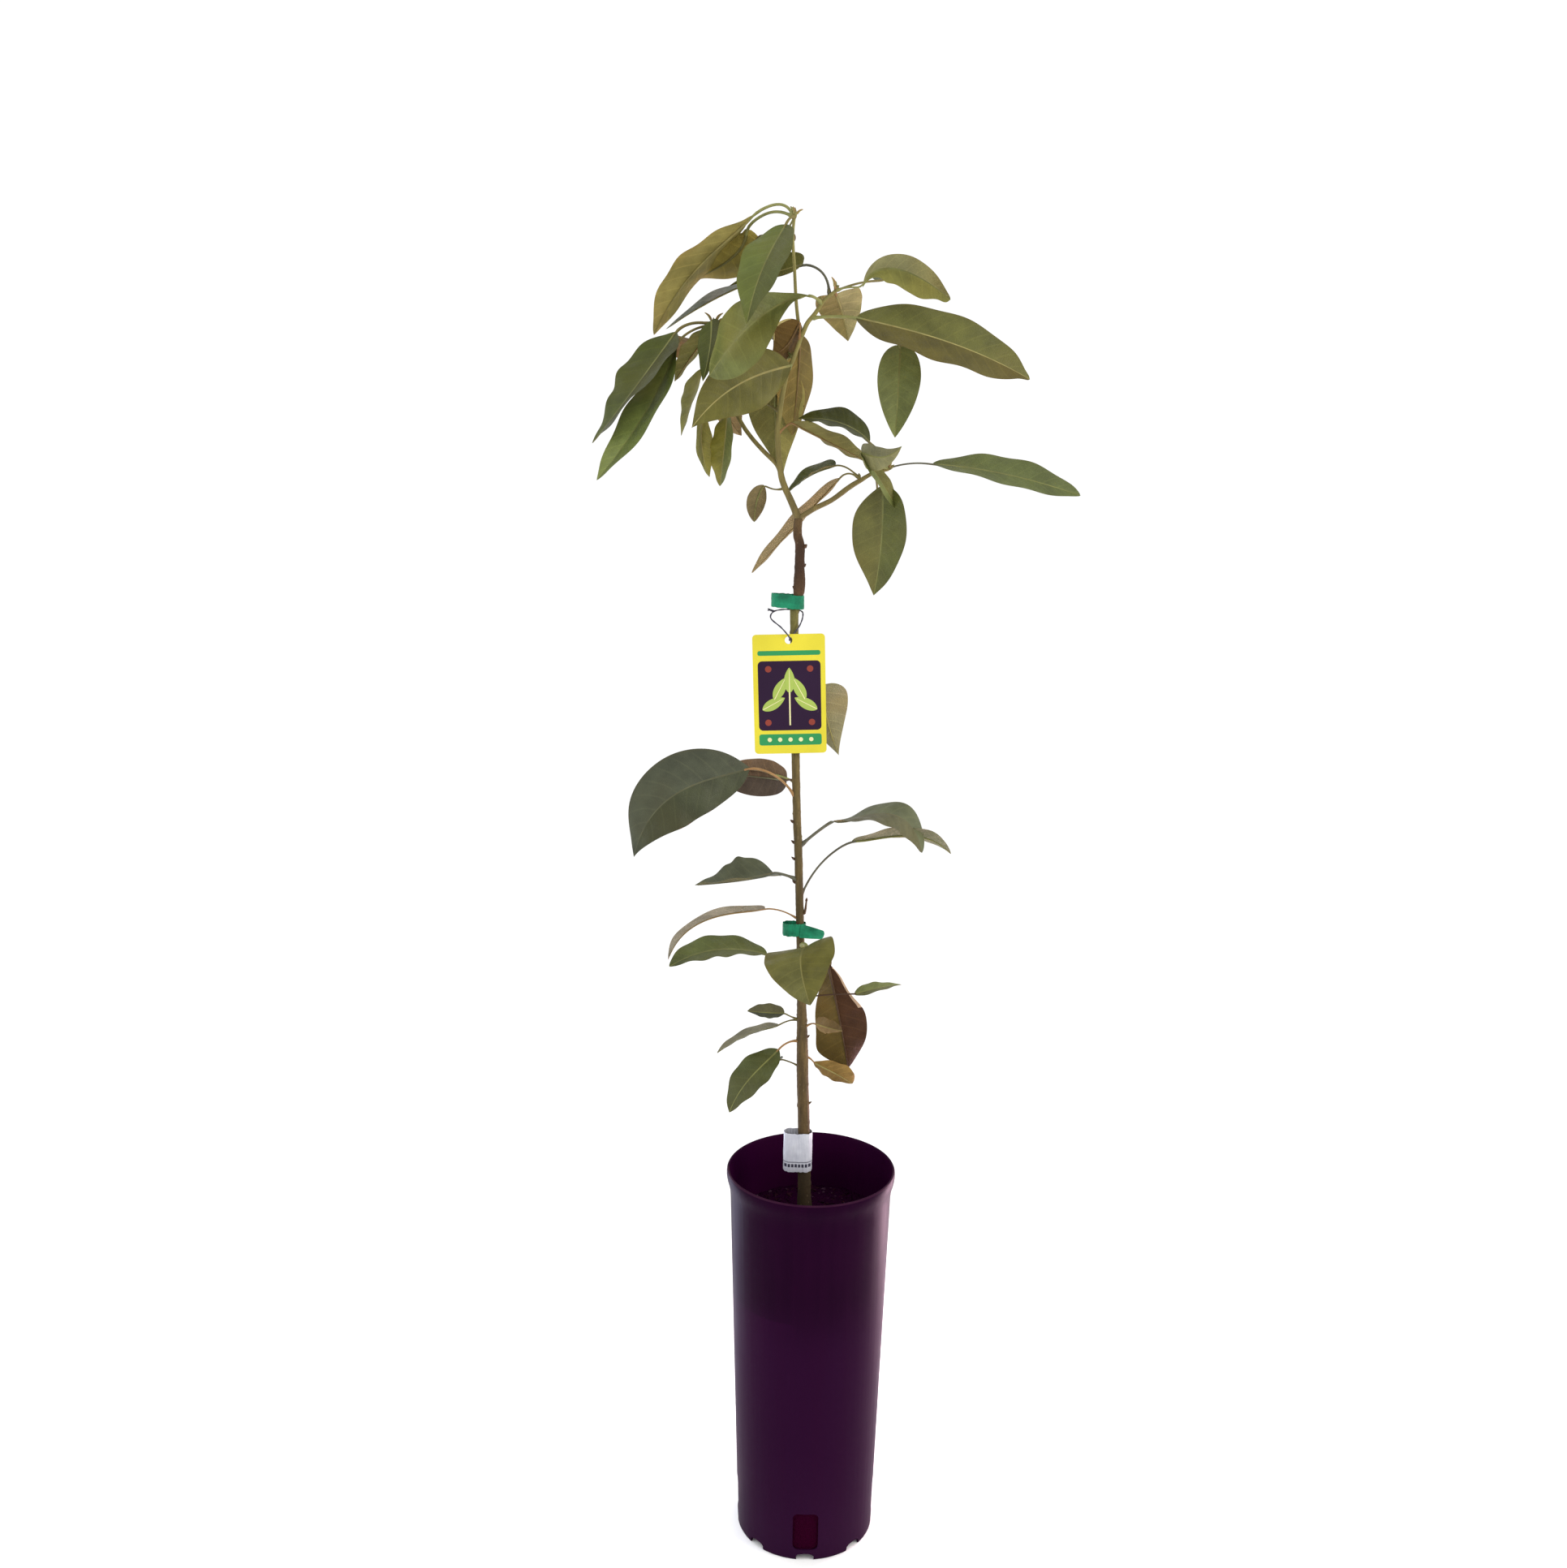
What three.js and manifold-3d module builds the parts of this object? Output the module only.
// A young grafted avocado tree standing in its tall nursery pot.
// Millimetres, +Z up. The origin is the centre of the pot's flat underside,
// the front of the tree looks along -Y and +X is to its right.
import * as THREE from "three";
import { mergeVertices } from "three/addons/utils/BufferGeometryUtils.js";
import Module from "manifold-3d";

const wasm = await Module();
wasm.setup();
const { Manifold } = wasm;

// ---------------------------------------------------------------- pot
const POT_HEIGHT = 447;
const LIP_RADIUS = 95;
const LIP_DEPTH = 8;
const BODY_TOP_RADIUS = 90.6;
const BASE_RADIUS = 78.7;
const WALL = 2;
const FLOOR_TOP = 6;
const FLOOR_UNDER = 3.5;
const FOOT_RING = 2.6;
const FOOT_DISC_RADIUS = 58;
const POT_SIDES = 32;
const NOTCH_COUNT = 8;
const NOTCH_WIDTH = 20;
const NOTCH_HEIGHT = 8;
const SLOT_COUNT = 4;
const SLOT_WIDTH = 29;
const SLOT_BOTTOM = 13;
const SLOT_TOP = 60;
const SLOT_CORNER = 6;

// ---------------------------------------------------------------- soil
const SOIL_TOP = 384.5;
const SOIL_GAP = 0.5;
const SOIL_BOTTOM = 6.4;
const SOIL_UNEVEN = 3.2;
const COLLAR_RADIUS = 15;

// ---------------------------------------------------------------- limbs
const GAP = 0.4; // clear space kept between neighbouring solids
const LIMB_SIDES = 7;

// Each limb walks away from its foot, or from a place on another limb, in
// steps of [length, lean from upright, heading, radius at the end].
// Heading 0 is towards the front (-Y) and 90 is towards +X, in degrees.
const LIMBS = {
  trunk: {
    foot: [-6.5, 0.0, 384.9],
    radius: 9.7,
    steps: [
      [22.1, 1.0, -90, 7.84],
      [37.8, 0.9, -90, 7.16],
      [54.2, 1.5, -90, 6.02],
      [53.5, 2.4, -90, 5.8],
      [38.5, 1.4, -90, 5.59],
      [104.0, 1.9, -90, 4.54],
      [46.6, 2.1, -90, 4.34],
      [73.2, 2.3, -90, 4.39],
      [36.2, 3.1, -90, 4.37],
      [71.3, 2.1, -90, 4.33],
      [143.2, 1.5, -90, 4.43],
      [9.4, 3.0, 90, 4.42],
      [11.3, 9.7, 90, 4.33],
      [5.2, 13.3, 90, 4.58],
      [11.0, 4.7, 90, 5.34],
      [18.5, 0.3, 90, 5.15],
      [23.5, 0.2, 90, 4.72],
      [12.0, 13.9, -90, 4.63],
      [15.9, 3.2, 90, 4.41],
    ],
  },
  leader: {
    from: "trunk",
    at: 19,
    radius: 3.99,
    steps: [
      [17.1, 24.1, -90, 3.52],
      [18.1, 25.5, -97, 3.35],
      [12.9, 18.5, -105, 3.18],
      [20.6, 7.8, -90, 2.92],
      [24.6, 3.5, -90, 2.74],
      [17.9, 7.0, 90, 2.57],
      [17.2, 8.4, 66, 2.48],
      [22.9, 11.9, 78, 2.31],
      [11.5, 24.6, 90, 2.22],
      [11.1, 20.5, 90, 2.14],
      [16.1, 20.0, 90, 2.05],
    ],
  },
  right_bough: {
    from: "trunk",
    at: 19,
    radius: 2.94,
    steps: [
      [19.0, 57.2, 79, 2.76],
      [20.6, 62.8, 84, 2.59],
      [22.6, 53.3, 84, 2.33],
      [13.5, 57.9, 84, 2.16],
      [14.3, 60.0, 86, 1.99],
      [16.1, 74.6, 86, 1.82],
    ],
  },
  left_bough: {
    from: "leader",
    at: 3,
    radius: 2.26,
    steps: [
      [12.2, 30.4, -130, 2.09],
      [19.2, 47.7, -106, 2.01],
      [19.7, 46.1, -115, 1.93],
      [19.7, 38.5, -115, 1.85],
      [25.9, 28.3, -114, 1.76],
      [27.6, 19.5, -109, 1.68],
      [26.5, 12.1, -110, 1.59],
      [22.8, 9.2, -75, 1.5],
    ],
  },
  upper_right_bough: {
    from: "leader",
    at: 11,
    radius: 2.05,
    steps: [
      [14.1, 26.5, 61, 1.96],
      [11.7, 43.8, 61, 1.87],
      [15.9, 39.0, 60, 1.78],
      [14.7, 51.3, 75, 1.7],
    ],
  },
  top_shoot: {
    from: "leader",
    at: 11,
    radius: 1.89,
    steps: [
      [13.2, 16.0, -106, 1.8],
      [22.3, 7.6, -110, 1.72],
      [31.3, 3.9, -90, 1.63],
      [29.5, 4.5, -64, 1.54],
      [18.4, 5.1, 52, 1.45],
    ],
  },
};

// ---------------------------------------------------------------- leaves
const HUB = 2; // how far a leaf cluster's knuckle stands out from its limb
const STALK_RADIUS = 1.8;
const STALK_RINGS = 3;
const BLADE_THICK = 3.2;
const BLADE_STATIONS = 5;
const SHARP_TURN = 0.15; // cosine of a turn too tight for one smooth skin

// One row is one leaf:
// [stalk reach, heading, rise, sideways bow, upward bow], [blade length,
// heading, rise], width, roll, arch, sideways bend, fold, twist, skew,
// fullness near the stalk, fullness near the tip.
// "at" counts the steps along the limb that carries the cluster, and "also"
// holds a second place on the same limb whose leaves mingle with the first.
const FOLIAGE = {
  foliage_top: {
    on: "top_shoot",
    at: 5,
    leaves: [
      [[47.1, -115.2, 4.7, 12, 23.8], [158.5, -108.9, -47], 61.7, 10, 15.2, 6.2, 12, -25, 1.33, 0.75, 0.85],
      [[67.8, -131.8, -5.6, 1.6, 21.5], [97.3, -126.8, -30.8], 64, 33, -4.6, 12, 15, 60, 0.6, 0.64, 1.05],
      [[16.7, -35.4, -28.3, 1.1, 6.3], [113.5, -40.5, -60.1], 56.4, -9, 9.4, -0.6, 11, 15, 1.14, 0.66, 1.1],
      [[27.1, -158.4, -29, 2.6, 5], [101.2, -162.8, -24.5], 44, 0, 8, -0.5, 14, 0, 1, 0.62, 0.92],
    ],
  },
  foliage_top_narrow: {
    on: "upper_right_bough",
    at: 3.45,
    leaves: [
      [[49.1, -134.1, 41.4, 13.9, 13], [156.2, -99.3, -24.3], 53.2, -8, 7.9, 34, 14, -60, 1.1, 0.43, 1.11],
    ],
  },
  foliage_upper_right: {
    on: "upper_right_bough",
    at: 4,
    leaves: [
      [[27.7, 79.5, 6.8, -3.1, 3.9], [88.9, 76.9, -7.4], 36.3, 94, -6.2, -21.9, 28, -60, 0.6, 0.74, 0.5],
      [[7.3, 173.4, -15.9, -0.4, 2.6], [56.9, 156, -50.6], 50, -26, 8.2, 1.5, 16, 7, 0.99, 0.42, 1.02],
      [[57, 124, 13.5, 0, 5], [117, 145.5, 3], 48, 0, 8, -3, 14, 0, 1, 0.62, 0.92],
    ],
  },
  foliage_centre_front: {
    on: "upper_right_bough",
    at: 2.78,
    leaves: [
      [[18.3, -49.5, 22.7, 2.3, 2.1], [136.1, -61.1, -36.3], 61.3, -73, -14.4, 13.8, 28, 60, 0.72, 1.1, 0.62],
    ],
  },
  foliage_right_broad: {
    on: "upper_right_bough",
    at: 1.55,
    leaves: [
      [[46, 77.5, 0.9, -4.5, 2.3], [184.1, 85.1, -18.4], 67.5, 48, 12.8, 2.1, 11, -7, 1.15, 0.55, 0.65],
      [[95.3, 98.2, -14.8, 18.2, 20.9], [93, -15.6, -81.6], 45.8, -13, 6.4, -0.4, 16, -12, 0.88, 0.54, 0.95],
    ],
  },
  foliage_centre_brown: {
    on: "leader",
    at: 10.58,
    leaves: [
      [[19.6, -8, 84.1, 0.8, 1.8], [44.2, -74.1, -48.7], 50.4, 57, -0.1, 6.8, 20, -8, 1.4, 0.68, 0.94],
      [[16.1, -179.4, 29.6, 3.7, 3.4], [105.3, -167.6, -74.2], 48.6, -24, 6.3, 6.4, 14, -4, 1.1, 0.73, 0.88],
    ],
    also: [
      {
        at: 9.4,
        leaves: [
          [[27.7, -156.4, -9.8, 1.3, 7.2], [113.6, 174.6, -77.2], 63.6, -1, 7.2, -9.2, 13, -12, 0.76, 0.57, 1.19],
          [[35, -146, 30.5, 0.5, -1.2], [107.6, -158.9, 4.6], 54, 0, 8, 3.5, 14, 0, 1, 0.62, 0.92],
        ],
      },
    ],
  },
  foliage_front_low: {
    on: "leader",
    at: 8,
    leaves: [
      [[11.3, 27, 37, 1.1, 4.5], [124, -66.8, -30.6], 62.3, -86, 4.5, 12.2, 11, -8, 1.09, 0.88, 1.16],
    ],
  },
  foliage_rear_high: {
    on: "leader",
    at: 7.38,
    leaves: [
      [[36, 182, 19, 0, 5], [112, 182, 10], 52, 0, 10, 1.5, 14, 0, 1, 0.62, 0.92],
    ],
  },
  foliage_rear_mid: {
    on: "leader",
    at: 6,
    leaves: [
      [[31, -142.1, 20, -0.4, 1.2], [95.7, -152.8, 2.9], 50, 0, 8, -0.5, 14, 0, 1, 0.62, 0.92],
    ],
  },
  foliage_stem_right: {
    on: "leader",
    at: 4.78,
    leaves: [
      [[20.3, 105.1, 41, -3.5, -0.9], [94.3, 99.5, -25.9], 45.9, -16, -2.3, 6.1, 13, 26, 1.02, 0.59, 1.02],
    ],
  },
  foliage_stem_left: {
    on: "leader",
    at: 1.95,
    leaves: [
      [[22.9, -108, 4.9, 1.3, -6.2], [39.9, -121.3, -73.2], 20.9, 48, 1.5, -2.9, 14, -7, 0.85, 0.69, 0.83],
    ],
  },
  foliage_right_tip: {
    on: "right_bough",
    at: 6,
    leaves: [
      [[32.7, -104.3, 51.7, 3.7, 4.9], [78.3, -100, 17.5], 48.7, -24, 12.8, -4, 15, 11, 0.81, 0.66, 0.96],
      [[35.7, -62.2, 25.9, -7.8, -2.9], [53.6, 45.7, 8.9], 28.8, 104, 4.9, 6.8, 15, -2, 1.31, 0.44, 1.05],
      [[36.7, -64.7, 27, -4.7, 8.3], [71.5, 78.6, -55.4], 24.3, 26, 4.4, 3.8, 13, -8, 1.05, 0.66, 0.78],
    ],
  },
  foliage_right_long: {
    on: "right_bough",
    at: 5.48,
    leaves: [
      [[51.8, 87.2, 8.2, 0.1, 7.3], [154.2, 85.1, -10.8], 48.8, 34, 7.1, 0.6, 13, -21, 0.93, 0.7, 0.76],
    ],
  },
  foliage_right_hanging: {
    on: "right_bough",
    at: 5.05,
    leaves: [
      [[17.3, 44.1, -44.1, 1.8, -1.5], [111.9, -29.6, -82.9], 65.3, 2, 7.1, -7.7, 14, 7, 1.07, 0.72, 1.05],
      [[40, 169, -52.2, 3.7, 5], [99.5, 172.3, -40.5], 46, 0, 8, 1.5, 14, 0, 1, 0.62, 0.92],
    ],
  },
  foliage_fork: {
    on: "right_bough",
    at: 4,
    leaves: [
      [[31.5, -106.5, 26.6, -0.7, 9.4], [56.3, -101.9, -30.2], 38.4, -17, 2.2, 9.5, 14, 20, 1.02, 0.63, 0.97],
      [[26.4, -127.4, 3.5, -1.8, 10.7], [144, -114.7, -45.8], 39.9, 2, 3.4, 8.3, 12, -2, 0.89, 0.46, 0.65],
    ],
  },
  foliage_left_hanging: {
    on: "left_bough",
    at: 4.5,
    leaves: [
      [[32.7, -76.5, -3.8, -6.8, 6.7], [65.3, 126.2, -84], 31, 68, -2.7, 5.8, 14, -4, 0.93, 0.69, 0.92],
      [[17.5, -26.5, -4.8, -4, 11.5], [74.8, -61, -83.7], 35.9, -13, 2.6, -3.7, 14, 9, 1, 0.67, 0.85],
    ],
  },
  foliage_left_inner: {
    on: "left_bough",
    at: 6.15,
    leaves: [
      [[19.7, 170.1, -49.5, -0.8, 0.8], [58.6, 137.3, -62.3], 39.4, -19, 3.5, -9.8, 14, 0, 1.01, 0.61, 0.93],
      [[23.8, -55.7, 0.6, -1.2, 8.8], [71.4, -63.9, -71.4], 35.7, -1, 4.7, -10, 16, -4, 0.94, 0.54, 0.99],
    ],
  },
  foliage_far_left: {
    on: "left_bough",
    at: 8,
    leaves: [
      [[42.1, -67.2, -11.5, -5.5, 9.8], [142, -78, -52.4], 66.5, -21, 12, -26.7, 16, -24, 1.31, 0.74, 1.03],
      [[56, -45.7, -22.9, -5.5, 7.9], [158.6, -68.9, -58.3], 54.2, -20, -1.6, -12.2, 14, 3, 0.83, 0.86, 0.9],
      [[31.2, -155.9, -28.7, 0, -0.8], [91.2, -163.8, -13.9], 46, 0, 8, -5, 14, 0, 1, 0.62, 0.92],
    ],
  },
  foliage_left_centre: {
    on: "left_bough",
    at: 7.48,
    leaves: [
      [[23, 19.9, 39.7, 4.8, 8.6], [82.8, -118, -48], 51.8, -6, 5.4, 8.5, 13, -13, 1.06, 0.67, 0.91],
      [[38.7, -4.3, 18.2, -0.2, 4.3], [63.2, -22.5, -72], 28.9, 17, 5.4, -8.4, 15, -2, 0.99, 0.53, 0.93],
    ],
  },
  foliage_behind_tag: {
    on: "trunk",
    at: 10.4,
    leaves: [
      [[34.5, 116.9, 26.5, -0.2, 12.9], [84.2, 127.1, -71.6], 54.1, -50, 7.2, -3.4, 14, 4, 1.16, 0.37, 1.14],
    ],
  },
  foliage_rear_tag: {
    on: "trunk",
    at: 10.73,
    leaves: [
      [[21.1, -172.7, -16.7, 0.2, 2.5], [109, -176.9, -46.5], 44, 0, 6, -0.5, 14, 0, 1, 0.62, 0.92],
    ],
  },
  foliage_low_broad: {
    on: "trunk",
    at: 9.4,
    leaves: [
      [[64.2, -73.4, 35.3, 7.6, 15.4], [154.5, -73.8, -35.9], 79, -79, 19.8, 28.5, 9, -46, 1.27, 0.88, 1.06],
    ],
  },
  foliage_low_shaded: {
    on: "trunk",
    at: 9.65,
    leaves: [
      [[15.8, -139.4, 2.1, -0.5, 5.1], [85.9, -122.4, -2.2], 43.4, 106, 6, -1, 16, -19, 0.86, 0.51, 0.5],
      [[34.1, -137.5, 6.4, 3.4, 2.2], [104.5, -137.2, -12.1], 50, 0, 8, 4, 14, 0, 1, 0.62, 0.92],
    ],
  },
  foliage_right_arched: {
    on: "trunk",
    at: 8.1,
    leaves: [
      [[48.2, 96.1, 38.4, 1.2, 3.7], [101.8, 85.2, -18.7], 52.4, 16, 27.9, -8.1, 3, -46, 1.39, 0.9, 0.71],
    ],
  },
  foliage_left_small: {
    on: "trunk",
    at: 7.55,
    leaves: [
      [[29.9, -81.9, 18.6, 0.3, 3], [87.1, -75.3, -5.8], 65.6, -4, 4.7, -16.3, 24, -21, 0.95, 0.57, 1.04],
    ],
  },
  foliage_right_curled: {
    on: "trunk",
    at: 7.28,
    leaves: [
      [[85.8, 104, 47.7, -12, 14], [112.8, 98.3, -8.9], 36.4, -34, 7.3, 21.8, 12, 20, 1.32, 0.59, 0.97],
    ],
  },
  foliage_left_thin: {
    on: "trunk",
    at: 6.93,
    leaves: [
      [[40.9, -87, 19, -0.2, 8.2], [119.3, -83.5, -28], 35.5, 28, 9.9, -53.8, 14, -10, 1.18, 0.56, 1],
    ],
  },
  foliage_front_face: {
    on: "trunk",
    at: 6.2,
    leaves: [
      [[24.3, 16.8, 18.9, 0.4, 6.5], [80.2, 2.9, -31.9], 79.9, 14, 15.4, 5.5, 10, 25, 0.86, 0.35, 0.84],
    ],
  },
  foliage_red_hanging: {
    on: "trunk",
    at: 5.93,
    leaves: [
      [[33, 111.4, -5.4, 2.7, 11.8], [141.1, 137.7, -74.4], 59.8, -34, -2.9, 1.6, 14, 38, 1, 1.06, 0.77],
      [[20.4, 155.1, -13.9, -0.4, 3.6], [110.8, 173.9, -33.4], 48, 0, 8, -0.5, 14, 0, 1, 0.62, 0.92],
    ],
  },
  foliage_left_long: {
    on: "trunk",
    at: 5.8,
    leaves: [
      [[45.5, -78, 32.4, -1.8, -3.4], [107.9, -78.2, -4.5], 47.8, -13, 4.1, 15.6, 13, 9, 1.02, 0.67, 0.78],
    ],
  },
  foliage_right_small: {
    on: "trunk",
    at: 5.55,
    leaves: [
      [[59.1, 97.8, 2.5, -1.2, 2.8], [54.8, 102.8, 8.2], 23.8, 5, 4.5, 5.8, 12, 17, 1.07, 0.59, 0.96],
    ],
  },
  foliage_left_pair: {
    on: "trunk",
    at: 5.33,
    leaves: [
      [[22.3, -75.5, 26.1, -2.2, -1.3], [41.7, -80.3, 6.2], 26.5, -20, -3.5, 3.1, 14, 8, 1.02, 0.56, 0.94],
      [[25.9, -90, -13.7, -1.1, 5.1], [75.4, -83.3, -24.2], 26.8, 3, 1.2, 12.1, 13, 7, 1.11, 0.66, 0.84],
    ],
  },
  foliage_right_bit: {
    on: "trunk",
    at: 5.23,
    leaves: [
      [[19.2, 61.1, 30.4, 2.2, 5.9], [30.7, 76.7, -9.3], 26.6, 16, -5, -5.1, 11, -1, 1, 0.5, 0.95],
    ],
  },
  foliage_foot_left: {
    on: "trunk",
    at: 5.08,
    leaves: [
      [[28.4, -69, -10.9, -1, 8.9], [87.4, -58.9, -44.9], 45.8, -15, 7.4, 1.1, 9, -4, 1.37, 0.71, 0.87],
    ],
  },
  foliage_foot_right: {
    on: "trunk",
    at: 4.8,
    leaves: [
      [[16, 115.8, -30.7, 1.3, 4.4], [57.4, 109.6, -33.7], 35.4, -47, -1.6, 3.4, 11, 14, 1.03, 0.77, 0.75],
    ],
  },
  foliage_rear_foot: {
    on: "trunk",
    at: 4.4,
    leaves: [
      [[30.6, -126.3, 5.9, -0.2, 2.5], [93.1, -142.3, -39.4], 36, 0, 5, -0.5, 14, 0, 1, 0.62, 0.92],
    ],
  },
};

// ---------------------------------------------------------------- ties, tag, label
// A tie is a belt round the trunk and round an empty loop beside it.
const TIE_HEIGHT = 16.5;
const TIE_THICK = 0.8;
const TIES = {
  tie_upper: { z: 1085, x: -25.4, grip: 6.1, loop_x: -46, loop: 6.2, tilt: 4 },
  tie_lower: { z: 727.4, x: -16.8, grip: 5.7, loop_x: -28, loop: 7.2, tilt: 0 },
};
const TIE_TAIL = { length: 26, droop: 7 }; // free end of the lower tie

const SLEEVE = { z: 467.5, x: -8, grip: 8.4, loop_x: -22.8, loop: 8 };
const SLEEVE_HEIGHT = 46;
const SLEEVE_THICK = 0.6;

const CARD_WIDTH = 76.2;
const CARD_HEIGHT = 127;
const CARD_THICK = 1;
const CARD_CORNER = 4;
const CARD_CENTRE = [-32.2, -8, 988.6];
const CARD_TURN = 2; // degrees, as it hangs
const CARD_HOLE = { below_top: 6.3, radius: 4 };

const WIRE_RADIUS = 0.8;
const WIRE_LOOP = [
  [-33.1, -8, 1045.6],
  [-34, -11, 1050],
  [-42, -10, 1059],
  [-53, -5, 1068],
  [-50, 6, 1074],
  [-37, 10, 1076],
  [-22, 7.6, 1075],
  [-19.6, 0, 1070],
  [-23.4, -6.2, 1060],
  [-30.6, -6.2, 1050],
];

// ---------------------------------------------------------------- vectors
const rad = (d) => (d * Math.PI) / 180;
const V = (a) => new THREE.Vector3(a[0], a[1], a[2]);
const arr = (v) => [v.x, v.y, v.z];

// Unit vector for a heading and a rise above level.
function toward(heading, rise) {
  const a = rad(heading),
    e = rad(rise);
  return V([
    Math.cos(e) * Math.sin(a),
    -Math.cos(e) * Math.cos(a),
    Math.sin(e),
  ]);
}

// A smooth value along a list of stations, t counting the steps.
function along(stations, t) {
  const n = stations.length - 1,
    i = Math.min(Math.floor(t), n - 1),
    f = t - i,
    a = stations[Math.max(i - 1, 0)],
    b = stations[i],
    c = stations[i + 1],
    d = stations[Math.min(i + 2, n)];
  return b.map(
    (_, k) =>
      0.5 *
      (2 * b[k] +
        (c[k] - a[k]) * f +
        (2 * a[k] - 5 * b[k] + 4 * c[k] - d[k]) * f * f +
        (3 * b[k] - a[k] - 3 * c[k] + d[k]) * f * f * f),
  );
}

// ---------------------------------------------------------------- solids
function solid(points, faces) {
  const made = new Manifold(
    new wasm.Mesh({
      numProp: 3,
      vertProperties: new Float32Array(points.flat()),
      triVerts: new Uint32Array(faces.flat()),
    }),
  );
  if (made.volume() > 0) return made;
  return new Manifold(
    new wasm.Mesh({
      numProp: 3,
      vertProperties: new Float32Array(points.flat()),
      triVerts: new Uint32Array(faces.map((f) => [f[0], f[2], f[1]]).flat()),
    }),
  );
}

function solidOf(geometry) {
  const g = geometry.clone();
  g.deleteAttribute("normal");
  g.deleteAttribute("uv");
  const m = mergeVertices(g, 1e-4);
  const p = m.attributes.position.array,
    points = [],
    faces = [];
  for (let i = 0; i < p.length; i += 3) points.push([p[i], p[i + 1], p[i + 2]]);
  for (let i = 0; i < m.index.count; i += 3)
    faces.push([
      m.index.array[i],
      m.index.array[i + 1],
      m.index.array[i + 2],
    ]);
  return solid(points, faces);
}

// Rings of points joined into one closed skin; a ring of one point is a tip.
// On a thin skin of four-point rings both walls are cut along the same lines.
function skin(rings, closed = false, thin = false) {
  const points = rings.flat(),
    faces = [],
    first = [];
  let k = 0;
  for (const r of rings) {
    first.push(k);
    k += r.length;
  }
  const pairs = closed ? rings.length : rings.length - 1;
  for (let i = 0; i < pairs; i++) {
    const j = (i + 1) % rings.length,
      a = rings[i].length,
      b = rings[j].length,
      n = Math.max(a, b);
    for (let s = 0; s < n; s++) {
      const s1 = (s + 1) % n,
        A = first[i] + (a > 1 ? s : 0),
        A1 = first[i] + (a > 1 ? s1 : 0),
        B = first[j] + (b > 1 ? s : 0),
        B1 = first[j] + (b > 1 ? s1 : 0);
      if (thin && s % 2 && a > 1 && b > 1)
        faces.push([A, A1, B1], [A, B1, B]);
      else {
        if (a > 1) faces.push([A, A1, B]);
        if (b > 1) faces.push([A1, B1, B]);
      }
    }
  }
  if (!closed) {
    const cap = (i, flip) => {
      const n = rings[i].length;
      for (let s = 1; s < n - 1; s++)
        faces.push(
          flip
            ? [first[i], first[i] + s + 1, first[i] + s]
            : [first[i], first[i] + s, first[i] + s + 1],
        );
    };
    if (rings[0].length > 1) cap(0, true);
    if (rings.at(-1).length > 1) cap(rings.length - 1, false);
  }
  return solid(points, faces);
}

// Rings round a path of [x, y, z, radius], carried along without twisting.
function ringsAlong(path, sides, level_start = false) {
  const c = path.map((p) => V(p)),
    rings = [];
  let side = null;
  path.forEach((p, i) => {
    const t = c[Math.min(i + 1, c.length - 1)]
      .clone()
      .sub(c[Math.max(i - 1, 0)])
      .normalize();
    if (level_start && i === 0) t.set(0, 0, 1);
    if (!side)
      side =
        Math.abs(t.x) < 0.9
          ? new THREE.Vector3(1, 0, 0)
          : new THREE.Vector3(0, 1, 0);
    side = side.clone().addScaledVector(t, -side.dot(t)).normalize();
    const up = t.clone().cross(side),
      ring = [];
    for (let s = 0; s < sides; s++) {
      const a = (2 * Math.PI * s) / sides;
      ring.push(
        arr(
          c[i]
            .clone()
            .addScaledVector(side, p[3] * Math.cos(a))
            .addScaledVector(up, p[3] * Math.sin(a)),
        ),
      );
    }
    rings.push(ring);
  });
  return rings;
}

function ball([x, y, z], radius) {
  return solidOf(
    new THREE.OctahedronGeometry(radius * 1.25, 0).translate(x, y, z),
  );
}

// ---------------------------------------------------------------- limbs
function stationsOf(limb) {
  const start = limb.foot ?? reach[limb.from][limb.at].slice(0, 3);
  const out = [[...start, limb.radius]];
  let p = V(start);
  for (const [length, lean, heading, radius] of limb.steps) {
    p = p.clone().addScaledVector(toward(heading, 90 - lean), length);
    out.push([...arr(p), radius]);
  }
  return out;
}

const reach = {};
for (const [name, limb] of Object.entries(LIMBS)) reach[name] = stationsOf(limb);

// A limb's tapering body with a domed tip; "fat" adds clearance all round.
function limbBody(name, fat = 0) {
  const path = reach[name].map(([x, y, z, r]) => [x, y, z, r + fat]);
  const [a, b] = path.slice(-2).map((p) => V(p));
  const t = b.clone().sub(a).normalize(),
    r = path.at(-1)[3];
  const neck = b.clone().addScaledVector(t, r * 0.5);
  path.push([...arr(neck), r * 0.8]);
  if (fat && LIMBS[name].foot) path[0][2] -= 1;
  const rings = ringsAlong(path, LIMB_SIDES, !!LIMBS[name].foot);
  rings.push([arr(b.clone().addScaledVector(t, r * 0.8))]);
  return skin(rings);
}

// The biggest single body of a cut solid.
function whole(made) {
  const biggest = (m) =>
    m.decompose().sort((a, b) => b.volume() - a.volume())[0];
  return biggest(biggest(made).simplify(0.12));
}

const boxesMeet = (a, b) => {
  const p = a.boundingBox(),
    q = b.boundingBox();
  return [0, 1, 2].every((k) => p.min[k] < q.max[k] && q.min[k] < p.max[k]);
};

function clearOf(made, others) {
  for (const o of others) if (boxesMeet(made, o)) made = made.subtract(o);
  return whole(made);
}

// ---------------------------------------------------------------- leaves
const bump = (u, skew) => {
  const x = Math.pow(u, skew);
  return 4 * x * (1 - x);
};

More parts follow.
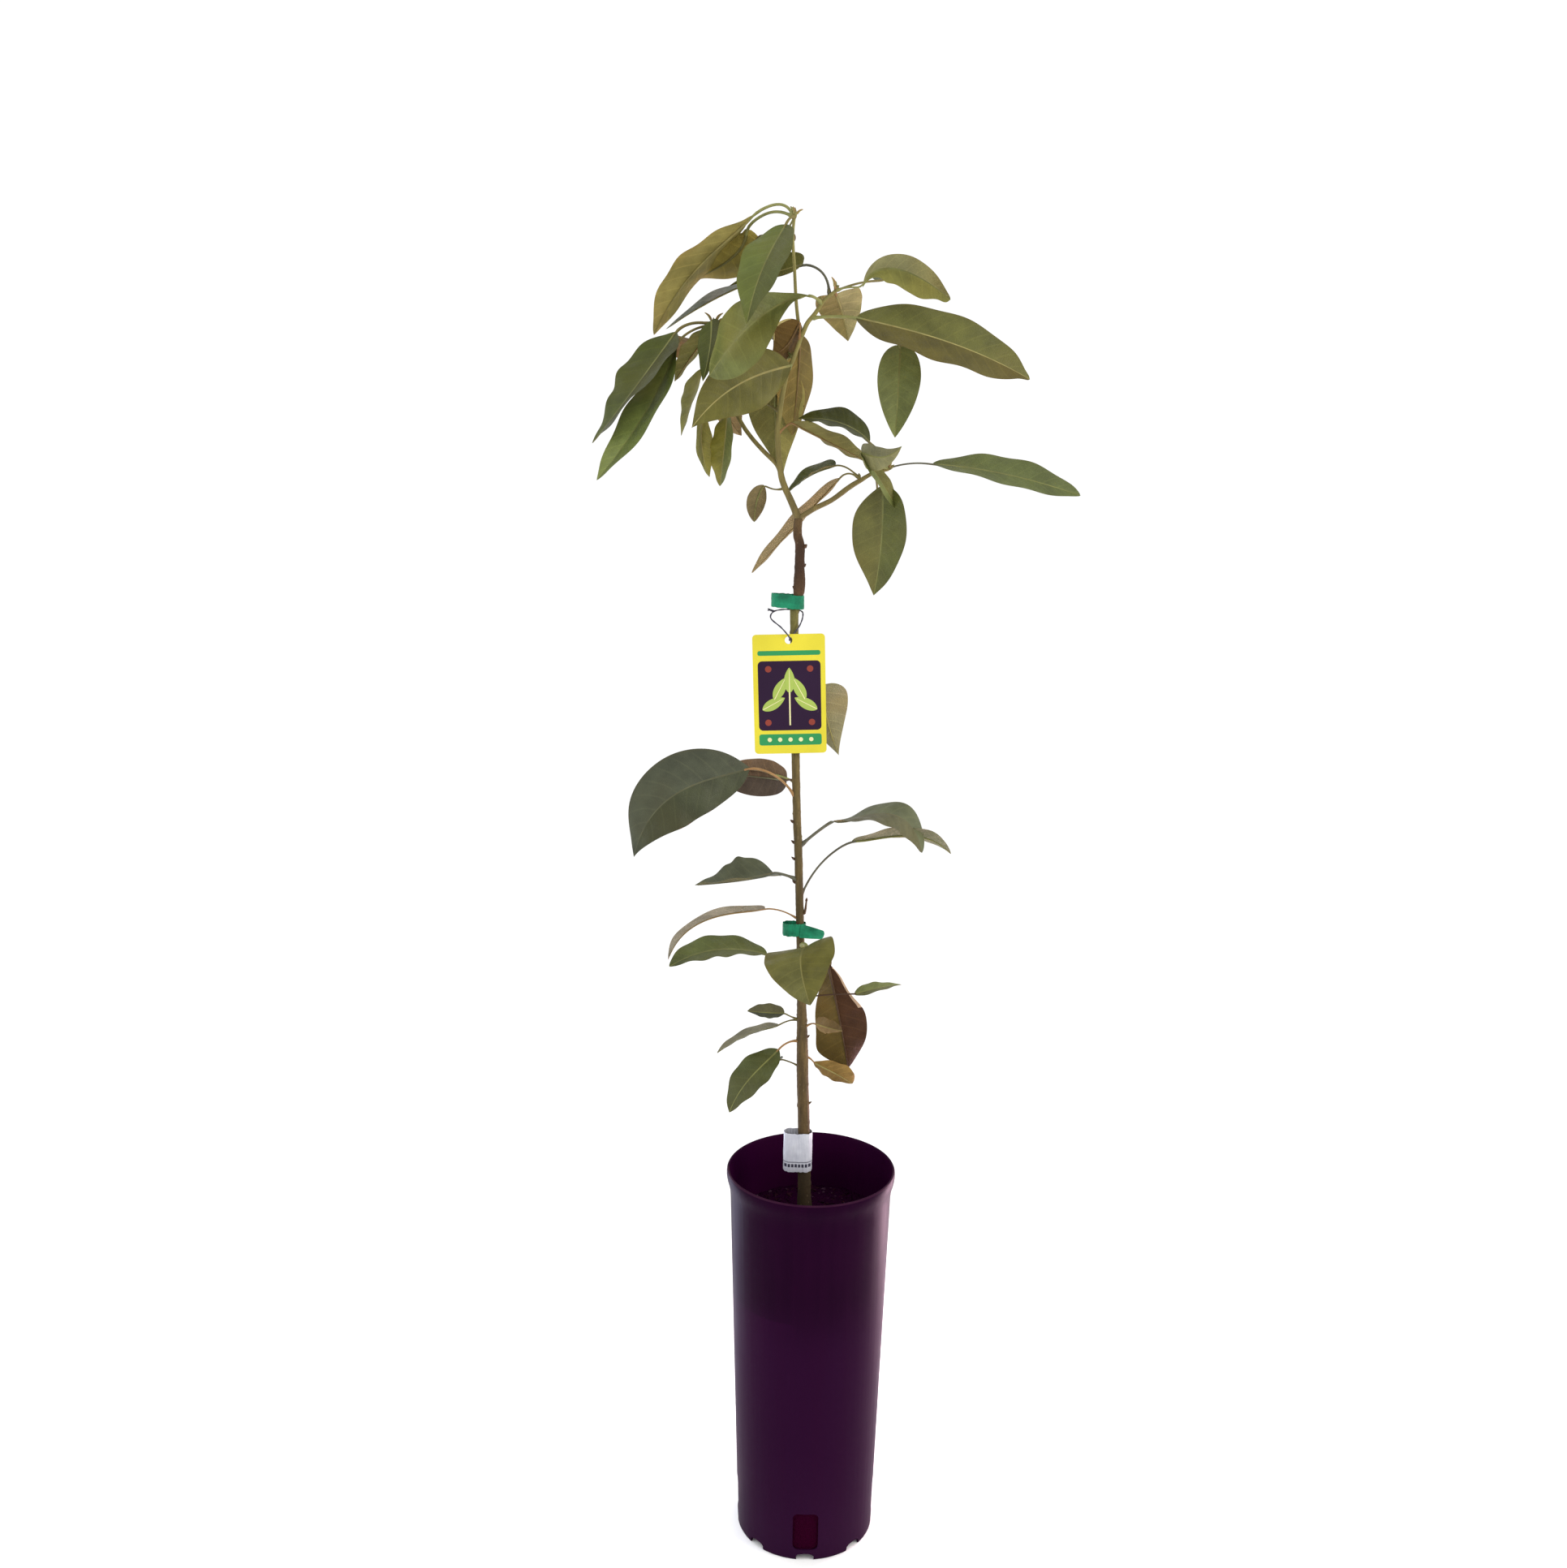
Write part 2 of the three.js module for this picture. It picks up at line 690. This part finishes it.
function outline(u, near, far) {
  const peak = near / (near + far);
  return (
    (Math.pow(u, near) * Math.pow(1 - u, far)) /
    (Math.pow(peak, near) * Math.pow(1 - peak, far))
  );
}

// Midrib, margins and top direction of a leaf at stations along its blade.
function bladeShape(base, row, stations) {
  const [, blade, width, roll, arch, bend, fold, twist, skew, near, far] = row;
  const [length, heading, rise] = blade;
  const t = toward(heading, rise),
    n0 = new THREE.Vector3(0, 0, 1).addScaledVector(t, -t.z).normalize(),
    s0 = t.clone().cross(n0),
    n = n0
      .clone()
      .multiplyScalar(Math.cos(rad(roll)))
      .addScaledVector(s0, Math.sin(rad(roll))),
    s = t.clone().cross(n);
  const midrib = (u) =>
    V(base)
      .addScaledVector(t, u * length)
      .addScaledVector(n, bump(u, skew) * arch)
      .addScaledVector(s, bump(u, skew) * bend);
  return stations.map((u) => {
    const C = midrib(u),
      T = midrib(Math.min(1, u + 0.01))
        .sub(midrib(Math.max(0, u - 0.01)))
        .normalize(),
      half = (outline(u, near, far) * width) / 2,
      S = s.clone().addScaledVector(T, -s.dot(T)).normalize(),
      N = S.clone().cross(T);
    if (N.dot(n) < 0) N.negate();
    const tw = rad(twist * (u - 0.5)),
      S2 = S.clone()
        .multiplyScalar(Math.cos(tw))
        .addScaledVector(N, Math.sin(tw)),
      N2 = N.clone()
        .multiplyScalar(Math.cos(tw))
        .addScaledVector(S, -Math.sin(tw)),
      f = rad(fold);
    return { C, T, S: S2, N: N2, half, f, u };
  });
}

// A leaf as one closed skin from its limb to its tip: a bowed stalk that
// widens into a blade, thick at the midrib and sharp at its margins.
function leafBody(root, row, fat = 0) {
  const [out, heading, rise, bow_x, bow_z] = row[0];
  const A = V(root),
    B = A.clone().addScaledVector(toward(heading, rise), out),
    M = A.clone().add(B).multiplyScalar(0.5).add(V([bow_x, 0, bow_z]));
  const stalk = (k) =>
    A.clone()
      .multiplyScalar((1 - k) * (1 - k))
      .addScaledVector(M, 2 * k * (1 - k))
      .addScaledVector(B, k * k);
  const us = [];
  for (let i = 1; i <= BLADE_STATIONS; i++)
    us.push(0.5 - 0.5 * Math.cos((Math.PI * i) / (BLADE_STATIONS + 1)));
  const shape = bladeShape(arr(B), row, [...us, 0.998]);
  const blade = shape.map(({ C, S, N, half, f, u }, i) => {
    if (i === BLADE_STATIONS) return [arr(C)];
    const h = half + fat,
      thick = BLADE_THICK * (1 - 0.45 * u) + 2 * fat,
      side = (k) =>
        arr(
          C.clone()
            .addScaledVector(S, k * h * Math.cos(f))
            .addScaledVector(N, h * Math.sin(f)),
        );
    return [
      side(1),
      arr(C.clone().addScaledVector(N, thick / 2)),
      side(-1),
      arr(C.clone().addScaledVector(N, -thick / 2)),
    ];
  });
  // stalk rings keep the blade's sides, carried back along the bow
  const end = B.clone().sub(M).normalize(),
    start = shape[0],
    sharp = end.dot(start.T) < SHARP_TURN;
  let T = start.T,
    S = start.S.clone(),
    N = start.N.clone();
  const rings = [];
  for (let i = STALK_RINGS - 1; i >= 0; i--) {
    const k = i / (STALK_RINGS - (sharp ? 1 : 0.75)),
      next = stalk(k + 0.05).sub(stalk(k - 0.05)).normalize(),
      turn = new THREE.Quaternion().setFromUnitVectors(T, next);
    S.applyQuaternion(turn);
    N.applyQuaternion(turn);
    T = next;
    const c = stalk(k),
      r = STALK_RADIUS + fat;
    rings.unshift(
      [S, N, S.clone().negate(), N.clone().negate()].map((d) =>
        arr(c.clone().addScaledVector(d, r)),
      ),
    );
  }
  if (!sharp) return skin([...rings, ...blade], false, true);
  // a stalk that doubles back meets the blade in a knuckle
  const heel = shape[0].C.clone().lerp(B, 0.6);
  return Manifold.union([
    skin(rings, false, true),
    skin([[arr(B)], ...blade], false, true),
    ball(arr(heel), 2.3 + fat),
  ]);
}

// A cluster of leaves that spring from one place on a limb, as one solid.
function clusterBody(mass, fat = 0) {
  const parts = [];
  for (const { at, leaves } of [mass, ...(mass.also ?? [])]) {
    const [x, y, z, r] = along(reach[mass.on], at);
    for (const row of leaves) parts.push(leafBody([x, y, z], row, fat));
    if (leaves.length > 1) parts.push(ball([x, y, z], r + HUB + fat));
  }
  return Manifold.union(parts);
}

// ---------------------------------------------------------------- pot and soil
function turned(profile, sides, height = () => 0) {
  const rings = profile.map(([r, z], i) => {
    if (r === 0) return [[0, 0, z]];
    const ring = [];
    for (let s = 0; s < sides; s++) {
      const a = (2 * Math.PI * (s + 0.5)) / sides;
      ring.push([r * Math.cos(a), r * Math.sin(a), z + height(r, a, i)]);
    }
    return ring;
  });
  return skin(rings);
}

const wallRadius = (z) =>
  BASE_RADIUS + ((BODY_TOP_RADIUS - BASE_RADIUS) * z) / (POT_HEIGHT - 30);

function prism(shape, depth) {
  return solidOf(
    new THREE.ExtrudeGeometry(shape, {
      depth,
      bevelEnabled: false,
      curveSegments: 2,
    }),
  );
}

function roundedRectangle(width, height, corner) {
  const x = width / 2,
    y = height / 2,
    c = corner,
    s = new THREE.Shape();
  s.moveTo(-x + c, -y);
  s.lineTo(x - c, -y);
  s.quadraticCurveTo(x, -y, x, -y + c);
  s.lineTo(x, y - c);
  s.quadraticCurveTo(x, y, x - c, y);
  s.lineTo(-x + c, y);
  s.quadraticCurveTo(-x, y, -x, y - c);
  s.lineTo(-x, -y + c);
  s.quadraticCurveTo(-x, -y, -x + c, -y);
  return s;
}

function potBody() {
  const H = POT_HEIGHT,
    L = LIP_RADIUS,
    top = H - 30;
  let pot = turned(
    [
      [0, 0],
      [FOOT_DISC_RADIUS, 0],
      [FOOT_DISC_RADIUS + 2.5, FLOOR_UNDER],
      [BASE_RADIUS - FOOT_RING - 1.6, FLOOR_UNDER],
      [BASE_RADIUS - FOOT_RING, 0],
      [BASE_RADIUS, 0],
      [wallRadius(top), top],
      [BODY_TOP_RADIUS + 1.6, H - 17],
      [L, H - LIP_DEPTH],
      [L, H],
      [L - WALL - 0.2, H],
      [BODY_TOP_RADIUS + 2.4 - WALL, H - 12],
      [wallRadius(top) - WALL, top],
      [wallRadius(FLOOR_TOP) - WALL, FLOOR_TOP],
      [0, FLOOR_TOP],
    ],
    POT_SIDES,
  );
  // drain notches through the foot ring
  for (let i = 0; i < NOTCH_COUNT; i++) {
    const notch = solidOf(
      new THREE.BoxGeometry(NOTCH_WIDTH, 8, NOTCH_HEIGHT + 2)
        .translate(0, -BASE_RADIUS - 0.4, NOTCH_HEIGHT / 2 - 1)
        .rotateZ((2 * Math.PI * i) / NOTCH_COUNT),
    );
    pot = pot.subtract(notch);
  }
  // tall drain slots just above the foot
  for (let i = 0; i < SLOT_COUNT; i++) {
    const slot = prism(
      roundedRectangle(SLOT_WIDTH, SLOT_TOP - SLOT_BOTTOM, SLOT_CORNER),
      14,
    )
      .rotate([90, 0, 0])
      .translate([0, -70, (SLOT_TOP + SLOT_BOTTOM) / 2])
      .rotate([0, 0, (360 * i) / SLOT_COUNT]);
    pot = pot.subtract(slot);
  }
  return whole(pot);
}

function soilBody() {
  const inner = (z) => wallRadius(z) - WALL - SOIL_GAP;
  const uneven = (r, a, i) =>
    i < 3 || r <= COLLAR_RADIUS
      ? 0
      : SOIL_UNEVEN *
        (Math.sin(3 * a + 0.7) * 0.45 +
          Math.sin(5 * a + r / 19) * 0.3 +
          Math.cos(r / 11 + 2 * a) * 0.35 -
          0.3);
  return turned(
    [
      [0, SOIL_BOTTOM],
      [inner(SOIL_BOTTOM), SOIL_BOTTOM],
      [inner(SOIL_TOP - 6), SOIL_TOP - 6],
      [inner(SOIL_TOP - 6), SOIL_TOP - 1],
      [68, SOIL_TOP + 0.5],
      [42, SOIL_TOP],
      [COLLAR_RADIUS, SOIL_TOP],
      [0, SOIL_TOP],
    ],
    POT_SIDES,
    uneven,
  );
}

// ---------------------------------------------------------------- small things
// A closed belt drawn tight round two upright rounds.
function beltShape({ x, grip, loop_x, loop }, thick) {
  const outline2 = (inset, Kind) => {
    const r = grip - inset,
      q = loop - inset,
      lean = Math.asin((r - q) / (x - loop_x)),
      s = new Kind();
    s.absarc(x, 0, r, -Math.PI / 2 - lean, Math.PI / 2 + lean, false);
    s.absarc(loop_x, 0, q, Math.PI / 2 + lean, 1.5 * Math.PI - lean, false);
    s.closePath();
    return s;
  };
  const shape = outline2(0, THREE.Shape);
  if (thick) shape.holes.push(outline2(thick, THREE.Path));
  return shape;
}

function beltBody(belt, height, thick, fat = 0) {
  const grown = { ...belt, grip: belt.grip + fat, loop: belt.loop + fat };
  const middle = (belt.x + belt.loop_x) / 2;
  return solidOf(
    new THREE.ExtrudeGeometry(beltShape(grown, thick && thick + 2 * fat), {
      depth: height + 2 * fat,
      bevelEnabled: false,
      curveSegments: 4,
    })
      .translate(-middle, 0, -height / 2 - fat)
      .rotateY(rad(belt.tilt ?? 0))
      .translate(middle, 0, belt.z),
  );
}

function tieBody(name, fat = 0) {
  const tie = TIES[name];
  let made = beltBody(tie, TIE_HEIGHT, TIE_THICK, fat);
  if (name === "tie_lower") {
    const tail = solidOf(
      new THREE.BoxGeometry(
        TIE_TAIL.length + 2 * fat,
        TIE_THICK + 2 * fat,
        TIE_HEIGHT - 1 + 2 * fat,
      )
        .translate(TIE_TAIL.length / 2, 0, 0)
        .rotateY(rad(TIE_TAIL.droop))
        .translate(tie.x, -tie.grip + 0.1, tie.z),
    );
    made = made.add(tail);
  }
  return made;
}

function cardBody() {
  const hole = solidOf(
    new THREE.CylinderGeometry(
      CARD_HOLE.radius,
      CARD_HOLE.radius,
      CARD_THICK * 4,
      8,
    ),
  ).translate([0, 0, CARD_HEIGHT / 2 - CARD_HOLE.below_top]);
  return prism(
    roundedRectangle(CARD_WIDTH, CARD_HEIGHT, CARD_CORNER),
    CARD_THICK,
  )
    .translate([0, 0, -CARD_THICK / 2])
    .rotate([90, 0, 0])
    .subtract(hole)
    .rotate([0, -CARD_TURN, 0])
    .translate(CARD_CENTRE);
}

function wireBody(fat = 0) {
  const curve = new THREE.CatmullRomCurve3(WIRE_LOOP.map(V), true);
  const rings = [],
    count = 22,
    sides = 4;
  const frames = curve.computeFrenetFrames(count, true);
  for (let i = 0; i < count; i++) {
    const c = curve.getPointAt(i / count),
      ring = [];
    for (let s = 0; s < sides; s++) {
      const a = (2 * Math.PI * s) / sides;
      ring.push(
        arr(
          c
            .clone()
            .addScaledVector(frames.normals[i], (WIRE_RADIUS + fat) * Math.cos(a))
            .addScaledVector(frames.binormals[i], (WIRE_RADIUS + fat) * Math.sin(a)),
        ),
      );
    }
    rings.push(ring);
  }
  return skin(rings, true);
}

// ---------------------------------------------------------------- assembly
const tree = new THREE.Group();
tree.name = "avocado_tree_in_pot";

function add(name, made, colour, roughness, metalness = 0) {
  const m = made.getMesh(),
    positions = new Float32Array(m.numVert * 3);
  for (let v = 0; v < m.numVert; v++)
    for (let k = 0; k < 3; k++)
      positions[v * 3 + k] = m.vertProperties[v * m.numProp + k];
  const geometry = new THREE.BufferGeometry();
  geometry.setAttribute("position", new THREE.BufferAttribute(positions, 3));
  geometry.setIndex(new THREE.BufferAttribute(new Uint32Array(m.triVerts), 1));
  geometry.computeVertexNormals();
  const mesh = new THREE.Mesh(
    geometry,
    new THREE.MeshStandardMaterial({
      name: name + "_material",
      color: colour,
      roughness,
      metalness,
    }),
  );
  mesh.name = name;
  tree.add(mesh);
}

add("pot", potBody(), 0x2e1230, 0.45);
add("soil", soilBody(), 0x2b1c16, 0.95);

const limbNames = Object.keys(LIMBS);
limbNames.forEach((name, i) => {
  const made = clearOf(
    limbBody(name),
    limbNames.slice(0, i).map((n) => limbBody(n, GAP)),
  );
  add(name, made, i === 0 ? 0x5c4f30 : 0x66662f, 0.85);
});

const card = cardBody(),
  wire = wireBody(),
  sleeve = beltBody(SLEEVE, SLEEVE_HEIGHT, SLEEVE_THICK);
for (const name of Object.keys(TIES)) add(name, tieBody(name), 0x1f9c72, 0.45);
add("tag_card", card, 0xefe23c, 0.4);
add("tag_wire", wire, 0x23202a, 0.5);
add("label", sleeve, 0xc9ccd8, 0.55);

// Room kept clear round the tag, ties and label.
const keepOut = [
  solidOf(
    new THREE.BoxGeometry(CARD_WIDTH + 2, CARD_THICK + 2 * GAP, CARD_HEIGHT + 2),
  )
    .rotate([0, -CARD_TURN, 0])
    .translate(CARD_CENTRE),
  ...Object.keys(TIES).map((name) => tieBody(name, GAP)),
  wireBody(GAP),
  beltBody(SLEEVE, SLEEVE_HEIGHT, SLEEVE_THICK, GAP),
];

const limbRoom = limbNames.map((n) => limbBody(n, GAP));
const taken = [];
const greens = [0x5a6c36, 0x66783c, 0x4f6133, 0x6f7f45, 0x5f6a3a];
Object.entries(FOLIAGE).forEach(([name, mass], i) => {
  const made = clearOf(clusterBody(mass), [...limbRoom, ...keepOut, ...taken]);
  taken.push(clusterBody(mass, GAP + 0.15));
  add(name, made, greens[i % greens.length], 0.6);
});

export default tree;
